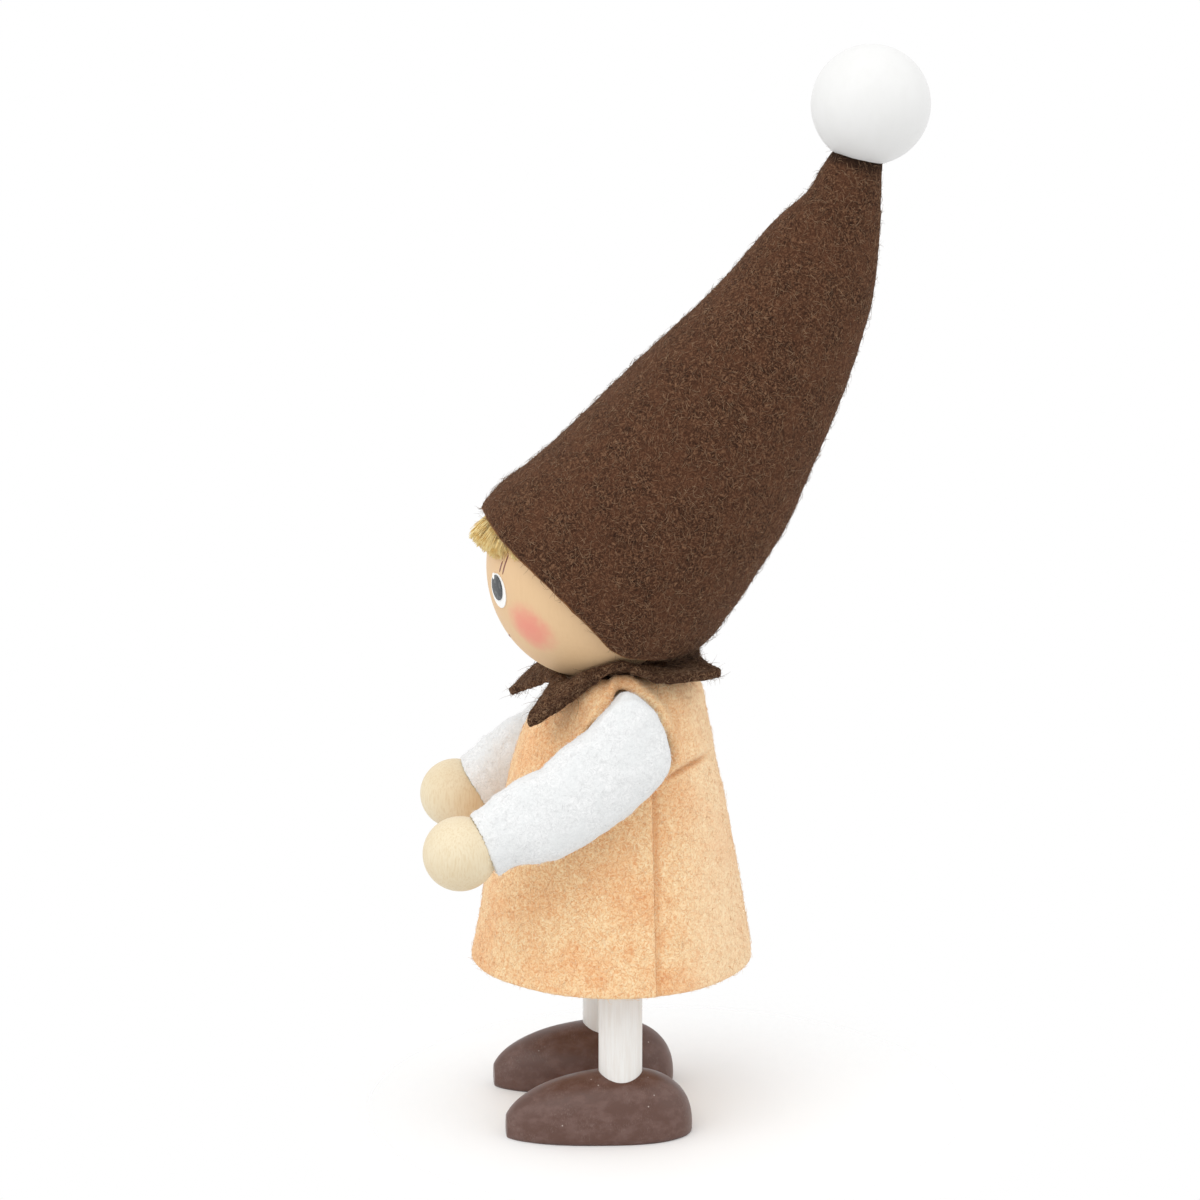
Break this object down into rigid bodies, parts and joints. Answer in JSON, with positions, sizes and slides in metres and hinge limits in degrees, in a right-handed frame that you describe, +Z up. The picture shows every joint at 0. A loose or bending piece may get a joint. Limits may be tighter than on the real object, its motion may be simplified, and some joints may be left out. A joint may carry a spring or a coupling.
{
  "type": "peg doll",
  "caption": "Turned-wood peg doll with a tall pointed felt cap and bead, a flared felt tunic, a pointed collar, and felt-sleeved bendable arms.",
  "frame": {"origin": "on the ground under the middle of the doll's overall box, at rest", "axes": "+Z up along the doll's height, which is its longest extent; the doll faces -Y; +X is towards its left hand"},
  "size_m": [0.0541, 0.0762, 0.1603],
  "materials": {
    "turned_wood": "plain turned wood",
    "face_wood": "satin varnished, painted face",
    "pale_wood": "plain sanded wood",
    "peach_felt": "matte wool felt",
    "brown_felt": "fuzzy wool felt",
    "white_felt": "matte wool felt",
    "straw_hair": "combed fibre",
    "white_paint": "satin white paint on wood",
    "dark_paint": "satin dark grey paint",
    "white_lacquer": "satin white lacquer on wood",
    "brown_lacquer": "satin brown lacquer on wood",
    "arm_wire": "soft steel wire"
  },
  "bodies": {
    "root": {"torso": "turned_wood", "neck_peg": "turned_wood", "tunic_front": "peach_felt", "tunic_back": "peach_felt", "collar": "brown_felt", "left_leg": "white_paint", "right_leg": "white_paint", "left_shoe": "brown_lacquer", "right_shoe": "brown_lacquer"},
    "head": {"head": "face_wood", "left_eye_white": "white_paint", "right_eye_white": "white_paint", "left_pupil": "dark_paint", "right_pupil": "dark_paint", "fringe": "straw_hair", "cap": "brown_felt", "bead": "white_lacquer", "bead_peg": "turned_wood"},
    "left_upper_arm": {"left_upper_sleeve": "white_felt", "left_upper_wire": "arm_wire"},
    "right_upper_arm": {"right_upper_sleeve": "white_felt", "right_upper_wire": "arm_wire"},
    "left_forearm": {"left_forearm_sleeve": "white_felt", "left_forearm_wire": "arm_wire", "left_hand": "pale_wood"},
    "right_forearm": {"right_forearm_sleeve": "white_felt", "right_forearm_wire": "arm_wire", "right_hand": "pale_wood"}
  },
  "joints": [
    {"name": "head_turn", "type": "hinge", "parent": "root", "child": "head", "pos_m": [0, -0.01129, 0.08], "axis": [0, 0, 1], "continuous": true},
    {"name": "left_shoulder", "type": "hinge", "parent": "root", "child": "left_upper_arm", "pos_m": [0, -0.00829, 0.059], "axis": [-0.977, 0, -0.2134], "range_deg": [-30, 45]},
    {"name": "right_shoulder", "type": "hinge", "parent": "root", "child": "right_upper_arm", "pos_m": [0, -0.00829, 0.059], "axis": [-0.977, 0, 0.2134], "range_deg": [-22.5, 52.5]},
    {"name": "left_elbow", "type": "hinge", "parent": "left_upper_arm", "child": "left_forearm", "pos_m": [0.02028, -0.01881, 0.05164], "axis": [-0.977, 0, -0.2134], "range_deg": [-20, 30]},
    {"name": "right_elbow", "type": "hinge", "parent": "right_upper_arm", "child": "right_forearm", "pos_m": [-0.02055, -0.01721, 0.05039], "axis": [-0.977, 0, 0.2134], "range_deg": [-20, 30]}
  ]
}
